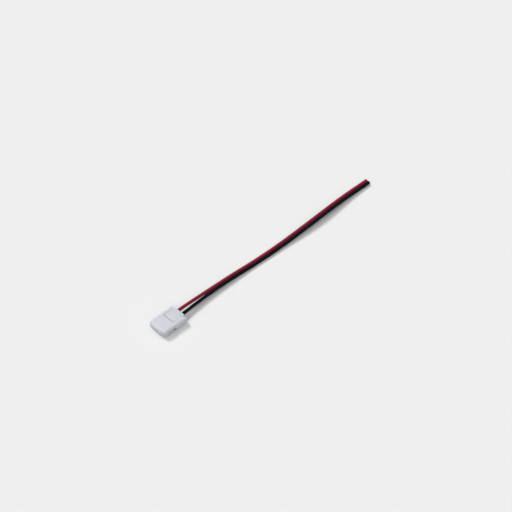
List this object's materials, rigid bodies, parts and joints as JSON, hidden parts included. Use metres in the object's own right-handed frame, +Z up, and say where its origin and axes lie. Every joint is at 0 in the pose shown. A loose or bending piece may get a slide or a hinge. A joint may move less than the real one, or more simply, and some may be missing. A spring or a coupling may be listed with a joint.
{
  "type": "led strip connector",
  "caption": "White snap-down clip for a flat light strip: channelled tray with spring contacts, a hinged U-shaped lid and a red and black lead cut flush at its end.",
  "frame": {"origin": "centre of the closed housing's footprint on the table, with the lead left out", "axes": "+X from the strip mouth to the lead, +Y towards the red core, +Z up"},
  "size_m": [0.1683, 0.0138, 0.0046],
  "materials": {
    "white_plastic": "satin moulded nylon",
    "contact_metal": "bright stamped strip",
    "solder": "bright solder",
    "copper": "drawn strands",
    "red_insulation": "satin extruded vinyl",
    "black_insulation": "satin extruded vinyl"
  },
  "bodies": {
    "housing": {"tray": "white_plastic", "red_contact": "contact_metal", "black_contact": "contact_metal", "red_solder": "solder", "black_solder": "solder", "red_conductor": "copper", "black_conductor": "copper", "red_insulation": "red_insulation", "black_insulation": "black_insulation"},
    "lid": {"lid": "white_plastic"}
  },
  "joints": [
    {"name": "lid_hinge", "type": "hinge", "parent": "housing", "child": "lid", "pos_m": [0.00705, 0, 0.0024], "axis": [0, 1, 0], "range_deg": [0, 105]}
  ]
}
